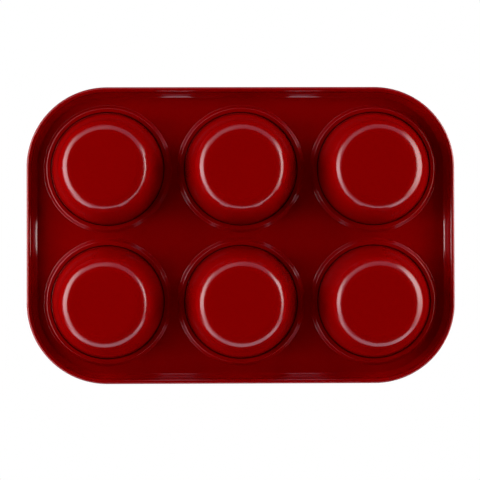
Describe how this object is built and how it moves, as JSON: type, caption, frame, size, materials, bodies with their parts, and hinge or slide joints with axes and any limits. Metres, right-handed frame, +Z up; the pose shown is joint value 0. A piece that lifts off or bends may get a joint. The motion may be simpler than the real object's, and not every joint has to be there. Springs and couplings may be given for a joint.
{
  "type": "muffin pan",
  "caption": "Rectangular muffin pan with rounded corners: drawn round cups hang by their flanges in stepped seats of a steel sheet whose rim turns down and rolls around a wire.",
  "frame": {"origin": "middle of the pan on the plane that the cup bases stand on", "axes": "+X along the pan's length, +Y along its width, +Z up out of the cup mouths"},
  "size_m": [0.266, 0.1842, 0.03],
  "materials": {
    "red_coat": "smooth semi-gloss red non-stick coating on steel sheet",
    "rim_wire_steel": "plain drawn steel wire, hidden in the rolled rim"
  },
  "bodies": {
    "root": {"frame_sheet": "red_coat", "rim_wire": "rim_wire_steel", "cup_1": "red_coat", "cup_2": "red_coat", "cup_3": "red_coat", "cup_4": "red_coat", "cup_5": "red_coat", "cup_6": "red_coat"}
  },
  "joints": []
}
